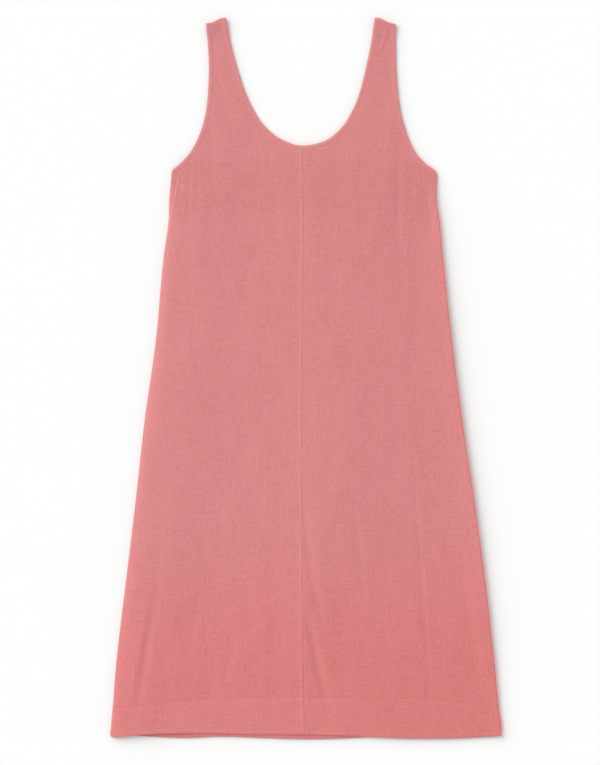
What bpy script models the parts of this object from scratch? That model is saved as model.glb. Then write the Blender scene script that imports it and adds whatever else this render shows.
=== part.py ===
"""A sleeveless sheath dress with a scoop neck, laid flat on a table with its front upwards.

X runs across the dress, Y from its hem to its shoulders, Z up out of its front. Left and right
are those of a viewer who faces the front. The origin is on the table, under the middle of the
dress. The two front halves meet in a centre seam, the back is one panel, and narrow strips bind
the neckline and the armholes. Each piece is a wall of cloth; the front lies on the back.
"""

import math

import bmesh
import bpy
from mathutils import Vector

MM = 0.001

# Driving sizes.
LENGTH = 1.200
WALL = 1.2 * MM
HEM_WALL = 1.8 * MM
BINDING_WALL = 1.4 * MM
BINDING_WIDTH = 7.6 * MM
BINDING_CROWN = 0.3 * MM
BINDING_PROUD = 0.4 * MM

# Clearances: between pieces edge to edge, between the layers, and the open mouth of a rolled
# seam, whose walls lean together to about 0.3 mm on its inner side.
PIECE_GAP = 0.4 * MM
SEAM_GAP = 0.3 * MM
LAYER_GAP = 0.4 * MM
ROLLED_GAP = 0.9 * MM

# How the layers turn round a side or a shoulder: the plan width of the turn, the height of the
# seam as a share of the crest, and how far the crest takes to settle at a shoulder.
TURN = 2.5 * MM
SEAM_SHARE = 0.45
SHOULDER_CREST = 5.4 * MM
SHOULDER_SETTLE = 22 * MM
UNDERARM_FADE = 55 * MM

# The shoulder line climbs from the armhole to its peak beside the neck, then drops.
SHOULDER_RISE = 9 * MM
SHOULDER_PEAK = 0.8
SHOULDER_BLEND = 40 * MM

# The back neckline and armholes lie just inside the front ones, so that they don't show.
BACK_INSET = 1 * MM

# The lower corners are rounded, and the hem's dips fade out above it.
HEM_CORNER = 6 * MM
HEM_FADE = 150 * MM

# The hem is doubled up to between these heights, and single again this far from a side edge.
HEM_STEP = (48 * MM, 60 * MM)
HEM_SIDE_FADE = 8 * MM

# An armhole strip leaves the side seam straight down, a little longer than it is wide, and has
# turned across the armhole after this many of its widths.
UNDERARM_DROP = 1.35
UNDERARM_TURN = 1.6

# Soft ridges die away towards a side edge, and have rounded ends set by a power of a sine.
FOLD_FADE = 20 * MM
FOLD_END_POWER = 0.7

# The rows of a panel climb towards the neck by this share of the way on the last one below it.
ROW_LIFT = 0.8

# The columns of a strap spread out evenly over this share of the way from underarm to shoulder.
STRAP_SPREAD = 0.3

RUN_STEPS = 30
JOIN_DISTANCE = 0.01 * MM
FRONT_COLUMNS = 11
BACK_COLUMNS = 4
TURN_STEPS = 4
BODY_ROWS = (0, 14, 30, 48, 60, 76, 105, 140, 180, 225, 270, 315, 360, 405, 450, 495, 540,
             585, 630, 675, 720, 765, 805, 845, 880, 905, 922)
STRAP_STATIONS = (0.03, 0.07, 0.12, 0.18, 0.25, 0.33, 0.42, 0.52, 0.62, 0.72, 0.82, 0.90, 0.95)
SALMON = (0.686, 0.238, 0.235, 1.0)
BINDING_SALMON = (0.700, 0.258, 0.250, 1.0)
CLOTH_ROUGHNESS = 0.92


def ease(share):
    """A smooth step from 0 to 1."""
    share = min(max(share, 0.0), 1.0)
    return share * share * (3 - 2 * share)


def mix(first, second, share):
    return first + (second - first) * share


class Table:
    """Sizes in millimetres under named columns, read between rows along a smooth curve."""

    def __init__(self, names, *rows):
        self.names = names.split()
        self.rows = [[size * MM for size in row] for row in rows]

    def column(self, name):
        index = self.names.index(name)
        return [row[index] for row in self.rows]

    def at(self, key, name):
        keys = self.column(self.names[0])
        sizes = self.column(name)
        key = min(max(key, keys[0]), keys[-1])
        row = max(i for i in range(len(keys) - 1) if keys[i] <= key)
        span = keys[row + 1] - keys[row]
        share = (key - keys[row]) / span
        leave = slope(keys, sizes, row) * span
        arrive = slope(keys, sizes, row + 1) * span
        return hermite(sizes[row], leave, sizes[row + 1], arrive, share)


def slope(keys, sizes, row):
    """The slope of the smooth curve at a row, from the rows on either side of it."""
    before = max(row - 1, 0)
    after = min(row + 1, len(keys) - 1)
    return (sizes[after] - sizes[before]) / (keys[after] - keys[before])


def hermite(start, leave, end, arrive, share):
    """A cubic from start to end that has the two slopes given."""
    square = share * share
    cube = square * share
    return (start * (2 * cube - 3 * square + 1) + leave * (cube - 2 * square + share)
            + end * (3 * square - 2 * cube) + arrive * (cube - square))


# Sections of the body by height above the lowest point of the hem. Left, seam and right are
# places across; each roll is how far the soft ridge inside a side edge reaches; crest is that
# ridge's height and air the space that the front keeps over the back.
BODY = Table(
    "up left seam right left_roll right_roll crest air",
    (0, -326.5, -2, 326.5, 30, 26, 6.4, 0.2),
    (64, -320.7, -3, 321.5, 38, 30, 6.4, 0.4),
    (131, -315.4, -4, 314.4, 50, 34, 6.6, 1.2),
    (264, -299.2, -5, 298.8, 46, 36, 6.4, 1.4),
    (397, -283.2, -6, 279.9, 45, 36, 6.2, 1.4),
    (530, -268.5, -6, 259.7, 34, 34, 6.2, 1.4),
    (663, -249.8, -5, 243.4, 20, 26, 6.0, 1.4),
    (796, -237.1, -4, 229.1, 14, 16, 5.8, 1.4),
    (863, -228.4, -4, 221.9, 12, 14, 5.6, 1.2),
    (896, -227.4, -4, 217.8, 12, 14, 5.4, 1.0),
    (946, -223.6, -5, 217.6, 16, 18, 5.0, 0.5),
    (1010, -223.6, -5, 217.6, 16, 18, 5.0, 0.2),
    (1200, -223.6, -5, 217.6, 16, 18, 5.0, 0.0),
)

# The hem edges of the front and the back, above the lowest point, by place across.
HEM = Table(
    "across front back",
    (-327, 2.2, 6.4),
    (-288, 6.2, 5.8),
    (-259, 8.3, 4.3),
    (-200, 9.7, 2.2),
    (-142, 9.2, 4.4),
    (-75, 7.7, 2.2),
    (-9, 7.8, 0.2),
    (58, 5.8, 1.2),
    (124, 2.8, 4.0),
    (174, 1.0, 4.8),
    (250, 1.6, 5.0),
    (311, 4.7, 7.6),
    (327, 6.0, 9.0),
)

# The neckline from its lowest point to the shoulders, and the armholes from the underarms up.
NECK = Table(
    "up left right",
    (987.7, -4.7, -4.7),
    (989.5, -19.4, 10.7),
    (999.5, -43.1, 38.7),
    (1009.5, -57.3, 50.3),
    (1029.4, -76.0, 68.0),
    (1069.4, -98.1, 87.3),
    (1129.3, -117.0, 101.4),
    (1191, -131.9, 113.2),
)
ARMHOLE = Table(
    "left_up left right_up right",
    (945.7, -223.6, 938.7, 217.6),
    (950, -219.2, 948.5, 212.0),
    (959.5, -207.6, 959.5, 196.6),
    (979.5, -190.7, 979.5, 180.0),
    (1009.5, -176.0, 1009.5, 166.9),
    (1049.4, -165.8, 1049.4, 156.2),
    (1109.3, -161.7, 1109.3, 150.4),
    (1149.3, -162.9, 1149.3, 149.5),
    (1191, -166.8, 1191, 149.0),
)

# The largest soft ridges of the front, each from one end to the other, with its full width.
FOLDS = Table(
    "from_x from_up to_x to_up width height",
    (28, 400, 66, 60, 46, 2.4),
    (120, 470, 142, 70, 52, 1.6),
    (216, 330, 262, 60, 46, 2.2),
    (-196, 280, -236, 60, 50, 1.8),
    (-120, 330, -140, 70, 56, 1.2),
    (-169, 1004, -171, 905, 20, 1.8),
    (-190, 968, -195, 880, 18, 1.5),
    (161, 1000, 158, 860, 22, 2.2),
    (184, 965, 192, 880, 20, 1.6),
)


def smooth_run(points):
    """A dense run of points on the smooth curve through a few."""
    last = len(points) - 1
    reach = [(points[i + 1] - points[i]).length for i in range(last)]
    keys = [sum(reach[:i]) for i in range(last + 1)]
    run = []
    for i in range(last):
        leave = slope(keys, points, i) * reach[i]
        arrive = slope(keys, points, i + 1) * reach[i]
        for step in range(RUN_STEPS):
            run.append(hermite(points[i], leave, points[i + 1], arrive, step / RUN_STEPS))
    return run + [points[last]]


def walk(run, stations):
    """The points at these shares of a run's length, each with its direction of travel."""
    reach = [0.0]
    for before, after in zip(run, run[1:]):
        reach.append(reach[-1] + (after - before).length)
    found = []
    for station in stations:
        goal = station * reach[-1]
        i = next((i for i in range(len(run) - 2) if reach[i + 1] >= goal), len(run) - 2)
        share = (goal - reach[i]) / (reach[i + 1] - reach[i])
        found.append((run[i].lerp(run[i + 1], share), (run[i + 1] - run[i]).normalized()))
    return found


def turned(vector, sign):
    """A plan vector turned a quarter to the left (sign 1) or to the right (sign -1)."""
    return Vector((-vector.y * sign, vector.x * sign))


def turn_distances():
    """Plan distances from a folded edge to the points of its turn, from the edge inwards."""
    quarter = math.pi / 2
    return [TURN * (1 - math.cos(quarter * i / TURN_STEPS)) for i in range(TURN_STEPS + 1)]


class Half:
    """The left (side -1) or right (side 1) half of the dress in plan."""

    def __init__(self, side):
        self.side = side
        self.name = "left" if side < 0 else "right"
        self.roll = self.name + "_roll"
        arm_ups = ARMHOLE.column(self.name + "_up")
        arm_xs = ARMHOLE.column(self.name)
        self.underarm = Vector((arm_xs[0], arm_ups[0]))
        neck_left = [Vector(p) for p in zip(NECK.column("left"), NECK.column("up"))]
        neck_right = [Vector(p) for p in zip(NECK.column("right"), NECK.column("up"))]
        neck = smooth_run(neck_left[:0:-1] + neck_right)
        lowest = min(range(len(neck)), key=lambda i: abs(neck[i].x - NECK.rows[0][1]))
        self.neck_run = neck[lowest::-1] if side < 0 else neck[lowest:]
        self.arm_run = smooth_run([Vector(p) for p in zip(arm_xs, arm_ups)])
        self.rows = self.strap_rows()

    def strap_rows(self):
        """Rows from underarm and neck point to shoulder: both edges, and their ways inwards."""
        arm_length = sum((b - a).length for a, b in zip(self.arm_run, self.arm_run[1:]))
        turn = [1 - top / arm_length for top in reversed(turn_distances())]
        stations = [0.0, *STRAP_STATIONS, *turn]
        arm = walk(self.arm_run, stations)
        neck = walk(self.neck_run, stations)
        rows = []
        for station, (arm_at, arm_way), (neck_at, neck_way) in zip(stations, arm, neck):
            corner = ease(station * arm_length / (UNDERARM_TURN * BINDING_WIDTH))
            arm_in = Vector((0, -UNDERARM_DROP)).lerp(turned(arm_way, self.side), corner)
            rows.append({
                "arm": arm_at, "arm_in": arm_in,
                "neck": neck_at, "neck_in": turned(neck_way, -self.side),
                "top": (1 - station) * arm_length, "station": station,
            })
        rows[0]["neck_in"] = Vector((0, -1))
        return rows

    def edges(self, row, arm_depth, neck_depth):
        """The two ends of a strap row, this far inside the armhole and the neckline."""
        outer = row["arm"] + row["arm_in"] * arm_depth
        inner = row["neck"] + row["neck_in"] * neck_depth
        return outer, inner

    def shoulder_rise(self, row, x):
        """How far the sloping shoulder line lifts a point of a strap row."""
        share = (x - row["arm"].x) / (row["neck"].x - row["arm"].x)
        climb = min(max(share, 0.0), SHOULDER_PEAK) / SHOULDER_PEAK
        drop = max(min(share, 1.0) - SHOULDER_PEAK, 0.0) / (1 - SHOULDER_PEAK)
        height = SHOULDER_RISE * climb * math.sqrt(max(1 - drop * drop, 0.0))
        return height * ease(1 - row["top"] / SHOULDER_BLEND)

    def side_distance(self, x, up):
        """How far a point lies inside the side edge, or its extension above the underarm."""
        return self.side * (BODY.at(min(up, self.underarm.y), self.name) - x)


class Place:
    """A point of a panel or strip in plan, with all that its height depends on."""

    def __init__(self, half, x, up, top=LENGTH, hem=0.0):
        self.x = x
        self.up = up
        self.inside = max(half.side_distance(x, up), 0.0)
        self.roll = BODY.at(up, half.roll)
        self.fade = ease((half.underarm.y - BINDING_WIDTH - up) / UNDERARM_FADE)
        self.top = top
        self.hem = hem


def fold_height(x, up):
    """The height that the front's soft ridges add at a point."""
    height = 0.0
    for from_x, from_up, to_x, to_up, width, tall in FOLDS.rows:
        start = Vector((from_x, from_up))
        way = Vector((to_x, to_up)) - start
        offset = Vector((x, up)) - start
        along = offset.dot(way) / way.length_squared
        across = abs(offset.cross(way)) / way.length
        if 0 < along < 1 and across < width / 2:
            ends = math.sin(math.pi * along) ** FOLD_END_POWER
            height += tall * ends * math.cos(math.pi * across / width) ** 2
    return height


def turn_rise(distance):
    """The share of a turn's height that is reached this far inside a folded edge."""
    short = max(1 - distance / TURN, 0.0)
    return math.sqrt(max(1 - short * short, 0.0))


def front_height(place):
    """The height of the front's outer surface."""
    hem_wall = mix(WALL, HEM_WALL, place.hem)
    level = 2 * hem_wall + LAYER_GAP + BODY.at(place.up, "air")
    level += fold_height(place.x, place.up) * ease(place.inside / FOLD_FADE)
    crest = BODY.at(place.up, "crest")
    rim = mix(level, crest * SEAM_SHARE + ROLLED_GAP / 2, place.fade)
    crest = mix(level, crest, place.fade)
    settled = ease((place.inside - TURN) / (place.roll - TURN))
    side = mix(rim, mix(crest, level, settled), turn_rise(place.inside))
    shoulder_rim = SHOULDER_CREST * SEAM_SHARE + ROLLED_GAP / 2
    settled = ease((place.top - TURN) / (SHOULDER_SETTLE - TURN))
    over = mix(SHOULDER_CREST, level, settled)
    return side + mix(shoulder_rim, over, turn_rise(place.top)) - level


def back_height(place):
    """The height of the back's outer surface, which lies on the table inside its folded edges."""
    rim = (BODY.at(place.up, "crest") * SEAM_SHARE - ROLLED_GAP / 2) * place.fade
    shoulder_rim = SHOULDER_CREST * SEAM_SHARE - ROLLED_GAP / 2
    return (rim * (1 - turn_rise(place.inside))
            + shoulder_rim * (1 - turn_rise(place.top)))


def set_down(place, height):
    """A point of the model, measured from the middle of the dress."""
    return Vector((place.x, place.up - LENGTH / 2, height))


def body_columns(half, outer_x, inner_x, up, count):
    """Places across a body row: the turn, the roll, then even steps to the inner edge."""
    roll = BODY.at(up, half.roll)
    width = abs(inner_x - outer_x)
    inner = [roll / 2, roll]
    inner += [mix(roll, width, (i + 1) / count) for i in range(count)]
    return [distance / width for distance in turn_distances() + inner]


def panel_rows(half, layer, columns, row_ups, neck_in, arm_in, inner_gap):
    """The grid of places of half a panel, row by row from the hem to the shoulder."""
    start, end = half.edges(half.rows[0], arm_in, neck_in)
    rows = []
    for up in (*row_ups, end.y):
        share = min(up / row_ups[-1], 1.0)
        outer_up = start.y if up == end.y else up
        inner_up = end.y if up == end.y else up + (end.y - row_ups[-1]) * ROW_LIFT * share ** 3
        outer_x = BODY.at(outer_up, half.name)
        inner_x = BODY.at(inner_up, "seam") + half.side * inner_gap
        hem_share = 1 - ease((up - HEM_STEP[0]) / (HEM_STEP[1] - HEM_STEP[0]))
        row = []
        for share in body_columns(half, outer_x, inner_x, outer_up, columns):
            x = mix(outer_x, inner_x, share)
            hem = HEM.at(x, layer)
            corner = max(1 - abs(x - outer_x) / HEM_CORNER, 0.0)
            hem += HEM_CORNER * (1 - math.sqrt(1 - corner * corner))
            hem *= 1 - ease(up / HEM_FADE)
            place = Place(half, x, mix(outer_up, inner_up, share) + hem)
            place.inside = abs(x - outer_x)
            place.hem = hem_share * ease(place.inside / HEM_SIDE_FADE)
            row.append(place)
        rows.append(row)
    even_steps = len(rows[0]) - 1
    for strap_row in half.rows[1:]:
        outer, inner = half.edges(strap_row, arm_in, neck_in)
        body = body_columns(half, outer.x, inner.x, half.underarm.y, columns)
        spread = ease(strap_row["station"] / STRAP_SPREAD)
        row = []
        for i, share in enumerate(body):
            share = mix(share, i / even_steps, spread)
            at = outer.lerp(inner, share)
            up = at.y + half.shoulder_rise(strap_row, at.x)
            row.append(Place(half, at.x, up, strap_row["top"]))
        rows.append(row)
    return rows


def strip_rows(half, kind, inset):
    """The places of a binding strip: outer edge, middle and inner edge, row by row."""
    rows = []
    for strap_row in half.rows:
        row = []
        for depth in (inset, inset + BINDING_WIDTH / 2, inset + BINDING_WIDTH):
            at = strap_row[kind] + strap_row[kind + "_in"] * depth
            up = at.y + half.shoulder_rise(strap_row, at.x)
            row.append(Place(half, at.x, up, strap_row["top"]))
        rows.append(row)
    return rows


def strip_points(rows, front):
    """A binding strip's points, crowned along its middle; the front one stands a little proud."""
    points = []
    for row in rows:
        line = []
        for i, place in enumerate(row):
            crown = BINDING_CROWN if i == 1 else 0.0
            if front:
                proud = (BINDING_PROUD + crown) * turn_rise(place.top)
                line.append(set_down(place, front_height(place) + proud))
            else:
                line.append(set_down(place, back_height(place)))
        points.append(line)
    return points


def cloth_material(name, colour):
    material = bpy.data.materials.new(name)
    material.use_nodes = True
    shader = material.node_tree.nodes["Principled BSDF"]
    shader.inputs["Base Color"].default_value = colour
    shader.inputs["Roughness"].default_value = CLOTH_ROUGHNESS
    shader.inputs["Metallic"].default_value = 0.0
    return material


def sheet_object(name, grids, material, closed=False):
    """An open sheet through grids of points, each a list of rows; shared points are joined."""
    form = bmesh.new()
    for grid in grids:
        lines = [[form.verts.new(point) for point in line] for line in grid]
        if closed:
            lines.append(lines[0])
        for low, high in zip(lines, lines[1:]):
            for i in range(len(low) - 1):
                form.faces.new((low[i], low[i + 1], high[i + 1], high[i]))
    bmesh.ops.remove_doubles(form, verts=form.verts, dist=JOIN_DISTANCE)
    mesh = bpy.data.meshes.new(name)
    form.to_mesh(mesh)
    form.free()
    mesh.materials.append(material)
    mesh.shade_smooth()
    sheet = bpy.data.objects.new(name, mesh)
    dress.objects.link(sheet)
    return sheet


def give_wall(sheet, thickness):
    """Thicken a sheet inwards, away from its outer surface, and shade its faces over its rim."""
    wall = sheet.modifiers.new("wall", "SOLIDIFY")
    wall.thickness = thickness
    wall.offset = -1
    wall.use_rim = True
    sheet.modifiers.new("shading", "WEIGHTED_NORMAL")
    return wall


def give_hem_wall(sheet, thick_points):
    """Thicken a panel, more where its hem is turned up: a share for each point near one."""
    wall = give_wall(sheet, HEM_WALL)
    group = sheet.vertex_groups.new(name="turned_up")
    for vertex in sheet.data.vertices:
        key = (round(vertex.co.x / MM, 2), round(vertex.co.y / MM, 2))
        group.add([vertex.index], thick_points.get(key, 0.0), "REPLACE")
    wall.vertex_group = group.name
    wall.thickness_vertex_group = WALL / HEM_WALL


def hem_shares(rows):
    """The share of the hem's extra thickness at each place, by its plan position."""
    shares = {}
    for row in rows:
        for place in row:
            key = (round(place.x / MM, 2), round((place.up - LENGTH / 2) / MM, 2))
            shares[key] = place.hem
    return shares


def left_to_right(half, points):
    """Rows of points in the order that makes their faces look up."""
    return points if half.side < 0 else [line[::-1] for line in points]


def make_front(half, material):
    depth = BINDING_WIDTH + PIECE_GAP
    rows = panel_rows(half, "front", FRONT_COLUMNS, [up * MM for up in BODY_ROWS],
                      depth, depth, SEAM_GAP / 2)
    points = [[set_down(place, front_height(place)) for place in row] for row in rows]
    sheet = sheet_object("front_" + half.name, [left_to_right(half, points)], material)
    give_hem_wall(sheet, hem_shares(rows))


def make_back(halves, material):
    depth = BACK_INSET + BINDING_WIDTH + PIECE_GAP
    grids = []
    shares = {}
    for half in halves:
        rows = panel_rows(half, "back", BACK_COLUMNS, [up * MM for up in BODY_ROWS[::2]],
                          depth, depth, 0.0)
        points = [[set_down(place, back_height(place)) for place in row] for row in rows]
        grids.append([line[::-1] for line in left_to_right(half, points)])
        shares.update(hem_shares(rows))
    give_hem_wall(sheet_object("back", grids, material), shares)


def make_neck_binding(halves, material):
    front = [strip_points(strip_rows(half, "neck", 0.0), True) for half in halves]
    back = [strip_points(strip_rows(half, "neck", BACK_INSET), False) for half in halves]
    ring = front[0] + back[0][::-1] + back[1][1:] + front[1][:0:-1]
    ring = [line[::-1] for line in ring]
    sheet = sheet_object("neck_binding", [ring], material, closed=True)
    give_wall(sheet, BINDING_WALL)


def make_armhole_binding(half, material):
    front = strip_points(strip_rows(half, "arm", 0.0), True)
    back = strip_points(strip_rows(half, "arm", BACK_INSET), False)
    strip = left_to_right(half, front + back[::-1])
    sheet = sheet_object("armhole_binding_" + half.name, [strip], material)
    give_wall(sheet, BINDING_WALL)


for old in list(bpy.data.objects):
    bpy.data.objects.remove(old)
dress = bpy.data.collections.new("sheath_dress")
bpy.context.scene.collection.children.link(dress)
cloth = cloth_material("salmon_cloth", SALMON)
binding_cloth = cloth_material("salmon_binding", BINDING_SALMON)
both = (Half(-1), Half(1))
for each in both:
    make_front(each, cloth)
    make_armhole_binding(each, binding_cloth)
make_back(both, cloth)
make_neck_binding(both, binding_cloth)
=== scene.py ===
"""A sleeveless sheath dress with a scoop neck, laid flat on a white table, its front upwards.

X runs across the dress, Y from its hem to its shoulders and Z up. Left and right are those of a
viewer who faces the front. Tables are in millimetres, everything else in metres.
"""
import math

import bpy
import numpy as np
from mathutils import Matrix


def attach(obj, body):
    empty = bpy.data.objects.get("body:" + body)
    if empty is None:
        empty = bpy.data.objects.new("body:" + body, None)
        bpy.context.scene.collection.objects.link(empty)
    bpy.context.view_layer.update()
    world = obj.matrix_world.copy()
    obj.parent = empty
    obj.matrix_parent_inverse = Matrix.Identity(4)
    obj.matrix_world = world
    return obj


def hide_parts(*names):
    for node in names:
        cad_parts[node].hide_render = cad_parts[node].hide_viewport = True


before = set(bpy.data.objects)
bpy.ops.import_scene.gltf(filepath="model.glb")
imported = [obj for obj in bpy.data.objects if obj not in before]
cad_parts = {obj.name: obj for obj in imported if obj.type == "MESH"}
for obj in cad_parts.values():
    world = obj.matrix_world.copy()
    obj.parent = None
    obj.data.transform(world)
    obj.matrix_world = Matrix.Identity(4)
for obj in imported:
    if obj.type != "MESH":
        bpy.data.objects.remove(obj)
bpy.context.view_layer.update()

# The table and the light. A white table top under a wide overcast light, with a soft window low
# on the left, above the dress's shoulder. The camera hangs straight over the dress.
MM = 0.001
VIEW_HEIGHT = 4.0
VIEW_MIDDLE = (-9.74 * MM, -6.66 * MM)
FRAME_HEIGHT = 1.2733
FILM = 36

bpy.ops.object.select_all(action="DESELECT")
bpy.ops.object.camera_add(location=(*VIEW_MIDDLE, VIEW_HEIGHT), rotation=(0, 0, 0))
camera = bpy.context.object
camera.data.sensor_width = FILM
camera.data.lens = FILM * VIEW_HEIGHT / FRAME_HEIGHT
camera.data.clip_end = 100
bpy.context.scene.camera = camera

TABLE_DROP = 0.3 * MM
TABLE_WHITE = (0.912, 0.912, 0.908, 1)
SKY_HIGH = 0.42
SKY_LOW = 1.92
WINDOW_STRENGTH = 2.95
WINDOW_WIDTH = math.radians(50)
WINDOW_TILT = math.radians(66)
WINDOW_TURN = math.radians(143)


class Wire:
    """A socket of a material. Arithmetic on it adds Math nodes."""

    def __init__(self, finish, socket):
        self.finish = finish
        self.socket = socket

    def math(self, operation, first, second=0.0):
        return self.finish.add("ShaderNodeMath", {"operation": operation}, {0: first, 1: second})

    def __add__(self, other):
        return self.math("ADD", self, other)

    def __sub__(self, other):
        return self.math("SUBTRACT", self, other)

    def __rsub__(self, other):
        return self.math("SUBTRACT", other, self)

    def __mul__(self, other):
        return self.math("MULTIPLY", self, other)

    __radd__ = __add__
    __rmul__ = __mul__


class Finish:
    """A material with its nodes, whose Principled shader is set by socket name."""

    def __init__(self, name):
        self.material = bpy.data.materials.new(name)
        self.material.use_nodes = True
        self.nodes = self.material.node_tree.nodes
        self.links = self.material.node_tree.links
        self.shader = self.nodes["Principled BSDF"]

    def feed(self, node, sockets):
        for key, value in sockets.items():
            if isinstance(value, Wire):
                self.links.new(value.socket, node.inputs[key])
            else:
                node.inputs[key].default_value = value

    def add(self, kind, settings, sockets, output=0):
        node = self.nodes.new(kind)
        for key, value in settings.items():
            setattr(node, key, value)
        self.feed(node, sockets)
        return Wire(self, node.outputs[output])

    def noise(self, place, scale, detail=2.0, roughness=0.5):
        """Soft noise between 0 and 1, with this many lumps a metre along each axis."""
        spread = self.add("ShaderNodeVectorMath", {"operation": "MULTIPLY"}, {0: place, 1: scale})
        return self.add("ShaderNodeTexNoise", {"noise_dimensions": "3D"}, {
            "Vector": spread, "Scale": 1.0, "Detail": detail, "Roughness": roughness})

    def blend(self, share, first, second):
        """A colour between two, by a share from 0 to 1."""
        return self.add("ShaderNodeMix", {"data_type": "RGBA"},
                        {0: share, 6: first, 7: second}, output=2)

    def ramp(self, value, low, high):
        """The value's place between low and high, as a smooth step from 0 to 1."""
        return self.add("ShaderNodeMapRange", {"interpolation_type": "SMOOTHSTEP"},
                        {"Value": value, "From Min": low, "From Max": high})


bpy.ops.mesh.primitive_plane_add(size=9, location=(0, 0, -TABLE_DROP))
table = bpy.context.object
table.name = "table_top"
bpy.ops.object.transform_apply(location=True)
table_finish = Finish("white_table")
table_finish.feed(table_finish.shader, {
    "Base Color": TABLE_WHITE, "Roughness": 0.95, "Specular IOR Level": 0.0})
table.data.materials.append(table_finish.material)

sky = bpy.data.worlds.new("overcast")
sky.use_nodes = True
sky_nodes = sky.node_tree.nodes
sky_place = sky_nodes.new("ShaderNodeTexCoord")
sky_height = sky_nodes.new("ShaderNodeSeparateXYZ")
sky_ramp = sky_nodes.new("ShaderNodeMapRange")
sky_nodes["Background"].inputs["Color"].default_value = (1, 1, 1, 1)
sky_ramp.interpolation_type = "SMOOTHSTEP"
sky_ramp.inputs["From Min"].default_value = 0.0
sky_ramp.inputs["From Max"].default_value = 0.8
sky_ramp.inputs["To Min"].default_value = SKY_LOW
sky_ramp.inputs["To Max"].default_value = SKY_HIGH
sky.node_tree.links.new(sky_place.outputs["Generated"], sky_height.inputs[0])
sky.node_tree.links.new(sky_height.outputs["Z"], sky_ramp.inputs["Value"])
sky.node_tree.links.new(sky_ramp.outputs["Result"], sky_nodes["Background"].inputs["Strength"])
bpy.context.scene.world = sky
bpy.context.scene.view_settings.view_transform = "Standard"
bpy.ops.object.light_add(type="SUN", location=(0, 0, 3),
                         rotation=(0, WINDOW_TILT, WINDOW_TURN))
window = bpy.context.object
window.name = "window"
window.data.energy = WINDOW_STRENGTH
window.data.angle = WINDOW_WIDTH


# The two front panels. Each is cut from a slubby plain-weave cloth, joined to the other by a
# pressed centre seam and to the back at its side and shoulder, with a hem turned up and stitched.
# They lie on the back: a soft roll inside each side edge, and creases that fall from the armholes.
class Table:
    """Sizes in millimetres under named columns, read between rows along a smooth curve."""

    def __init__(self, names, *rows):
        self.names = names.split()
        self.rows = np.array(rows, float) * MM

    def column(self, name):
        return self.rows[:, self.names.index(name)]

    def at(self, key, name):
        return through(self.column(self.names[0]), self.column(name), key)


def through(keys, sizes, key):
    """The smooth curve through a few sizes, each with its key."""
    order = np.arange(len(keys))
    after = np.minimum(order + 1, len(keys) - 1)
    before = np.maximum(order - 1, 0)
    slopes = (sizes[after] - sizes[before]) / (keys[after] - keys[before])
    key = np.clip(key, keys[0], keys[-1])
    row = np.clip(np.searchsorted(keys, key, side="right") - 1, 0, len(keys) - 2)
    span = keys[row + 1] - keys[row]
    share = (key - keys[row]) / span
    square = share * share
    cube = square * share
    return (sizes[row] * (2 * cube - 3 * square + 1)
            + slopes[row] * span * (cube - 2 * square + share)
            + sizes[row + 1] * (3 * square - 2 * cube)
            + slopes[row + 1] * span * (cube - square))


# Sections of the body by height above the lowest point of the hem. Left, seam and right are
# places across. The left side climbs to its crest over a few times left_roll; the right side
# falls from its crest over right_roll. Air is how far the front lies above LEVEL, or below it.
BODY = Table(
    "up left seam right left_roll right_roll left_crest right_crest air",
    (0, -326.5, -2, 325.6, 9, 30, 6.4, 5.4, 0.2),
    (26, -324.2, -2.4, 325.0, 9.4, 32, 6.6, 5.5, 0.2),
    (46, -322.4, -2.7, 321.7, 9.7, 34, 6.8, 5.6, 0.3),
    (64, -320.7, -3, 319.8, 10, 36, 7, 5.8, 0.4),
    (131, -315.4, -4, 313.2, 12, 46, 7.2, 7, 1.2),
    (264, -299.4, -5, 298.3, 13, 60, 7.2, 8, 1.4),
    (397, -283.4, -6, 280.3, 13, 62, 7.2, 8.4, 1.4),
    (530, -268.5, -6, 260.4, 12, 62, 7.2, 8.4, 1.4),
    (663, -249.9, -5, 243.0, 11, 60, 7, 8.2, 1.4),
    (796, -237.7, -4, 228.7, 8, 45, 6.6, 7.4, 1.4),
    (863, -228.6, -4, 222.3, 6, 30, 6.2, 6.8, 1.2),
    (896, -227.7, -4, 217.2, 6, 24, 5.9, 6.4, 1),
    (946, -223.9, -5, 218.4, 6, 20, 5.4, 5.6, 0.3),
    (1010, -223.9, -5, 218.4, 6, 20, 5.2, 5.2, -0.3),
    (1200, -223.9, -5, 218.4, 6, 20, 5.2, 5.2, -0.6),
)

# The hem by place across: the edges of the front and the back, and the line that stitches the
# turned-up cloth down, all above the hem's lowest point.
HEM = Table(
    "across front back line",
    (-327, 2.2, 6.4, 52),
    (-288, 6.2, 5.8, 55),
    (-259, 8.3, 4.3, 58.5),
    (-200, 9.7, 2.2, 63.6),
    (-142, 9.2, 4.4, 66.8),
    (-75, 7.7, 2.2, 68.8),
    (-9, 7.8, 0.2, 70.6),
    (58, 5.8, 1.2, 67.8),
    (124, 2.8, 4.0, 67.4),
    (174, 1.0, 4.8, 67.2),
    (250, 1.6, 5.0, 62),
    (311, 4.7, 7.6, 55),
    (327, 6.0, 9.0, 54),
)
HEM_LINE = 58 * MM
HEM_FADE = 168 * MM
HEM_CORNERS = (6 * MM, 3.5 * MM)

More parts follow.
